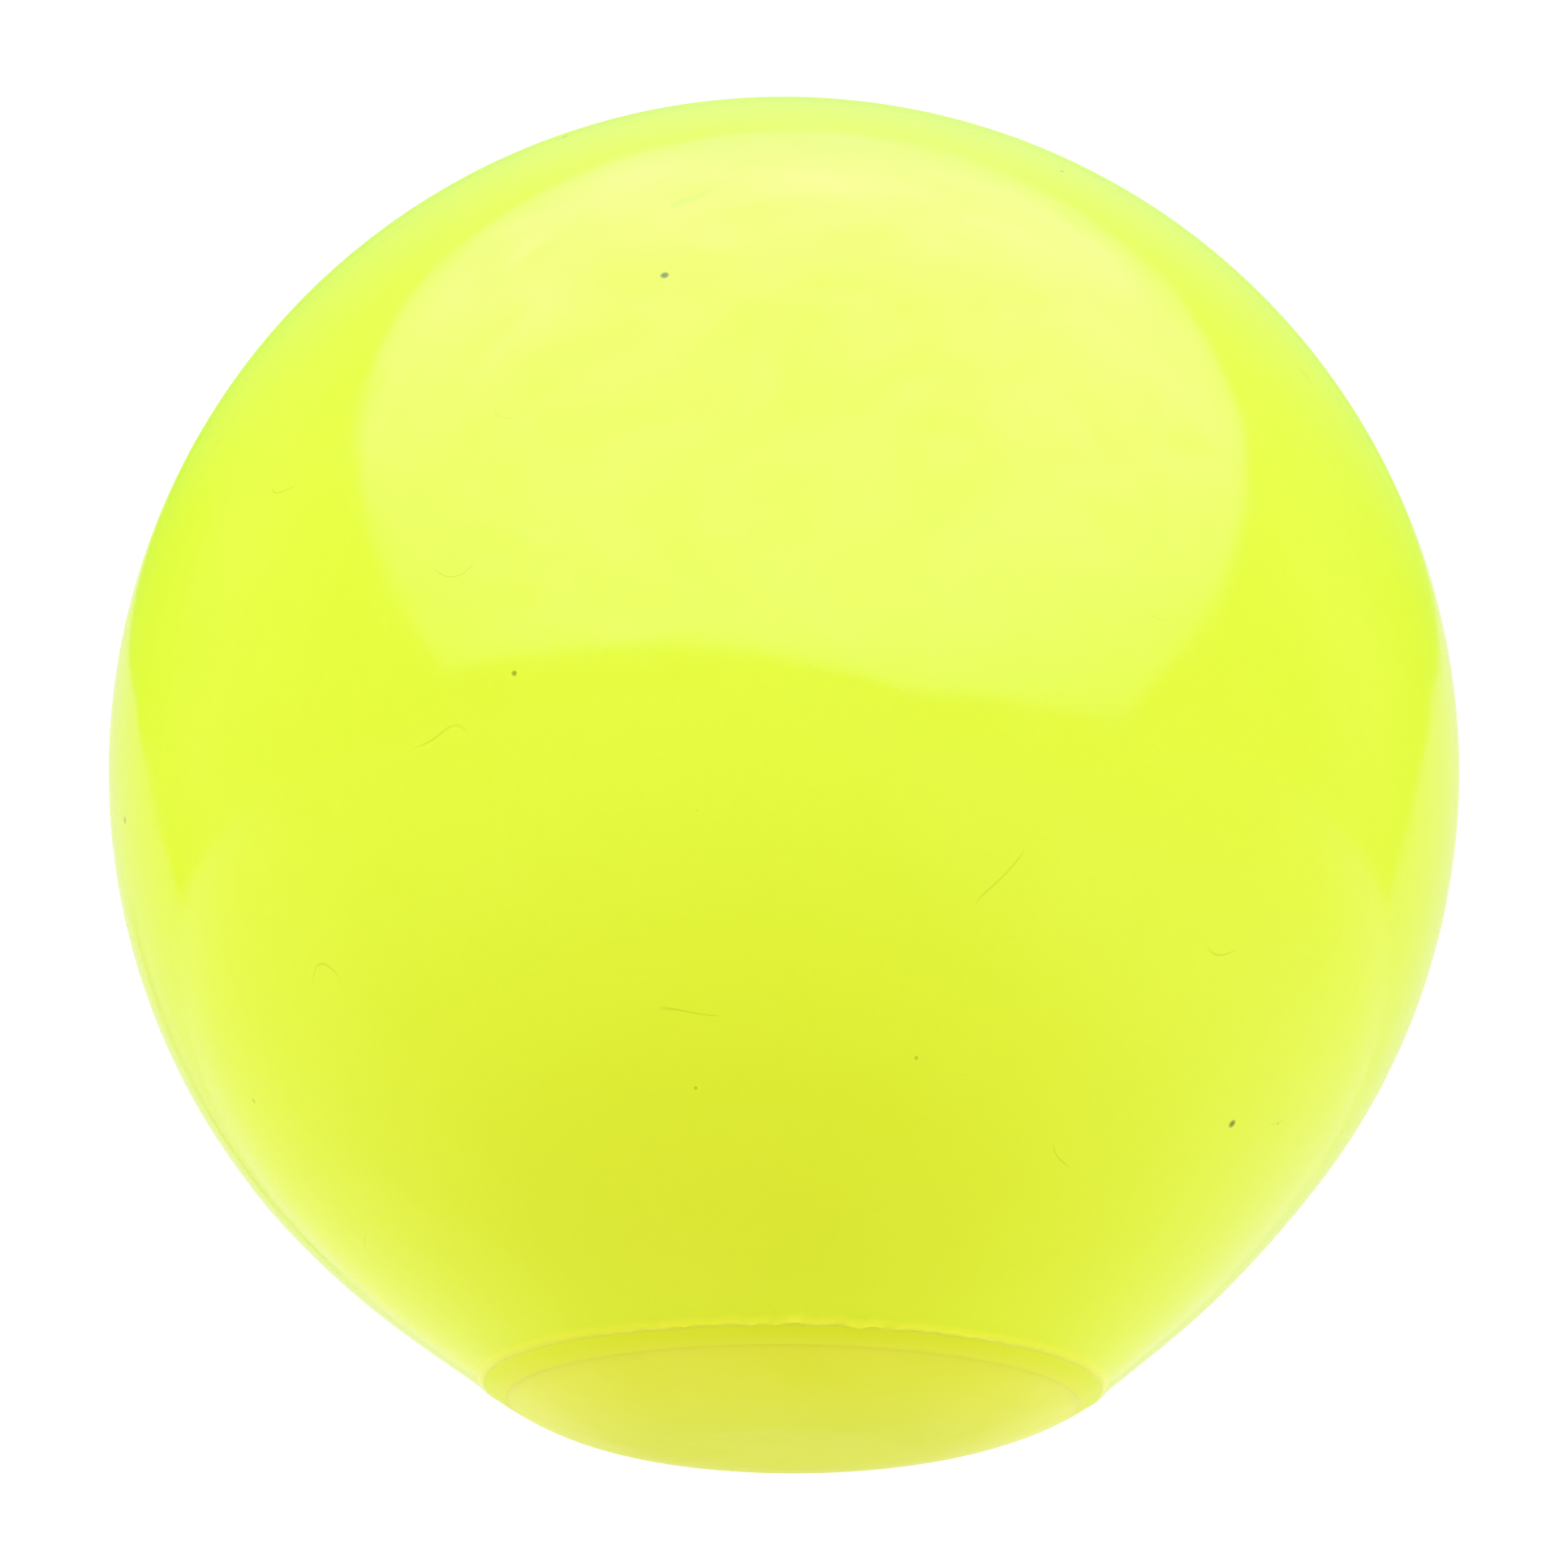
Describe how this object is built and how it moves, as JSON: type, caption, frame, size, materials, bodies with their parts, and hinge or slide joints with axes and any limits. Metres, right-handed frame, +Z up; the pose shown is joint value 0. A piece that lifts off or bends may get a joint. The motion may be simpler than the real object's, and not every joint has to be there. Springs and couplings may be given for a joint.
{
  "type": "soft play ball",
  "caption": "Hand-sized soft round ball with a rubber skin, a soft filling and a shallow-domed cap bonded into its base.",
  "frame": {"origin": "centre of the small flat foot under the base cap, at the bottom of the ball", "axes": "+Z up along the ball's axis of symmetry, from the foot through the base cap to the top of the skin; X and Y are alike"},
  "size_m": [0.065, 0.065, 0.0657],
  "materials": {
    "skin_rubber": "glossy, slightly translucent fluorescent yellow-green",
    "cap_rubber": "satin, slightly translucent yellow-green",
    "bead_adhesive": "lumpy, satin, yellow-green",
    "gel_filling": "soft gel, cloudy"
  },
  "bodies": {
    "root": {"ball_skin": "skin_rubber", "base_cap": "cap_rubber", "seam_bead": "bead_adhesive", "gel_core": "gel_filling"}
  },
  "joints": []
}
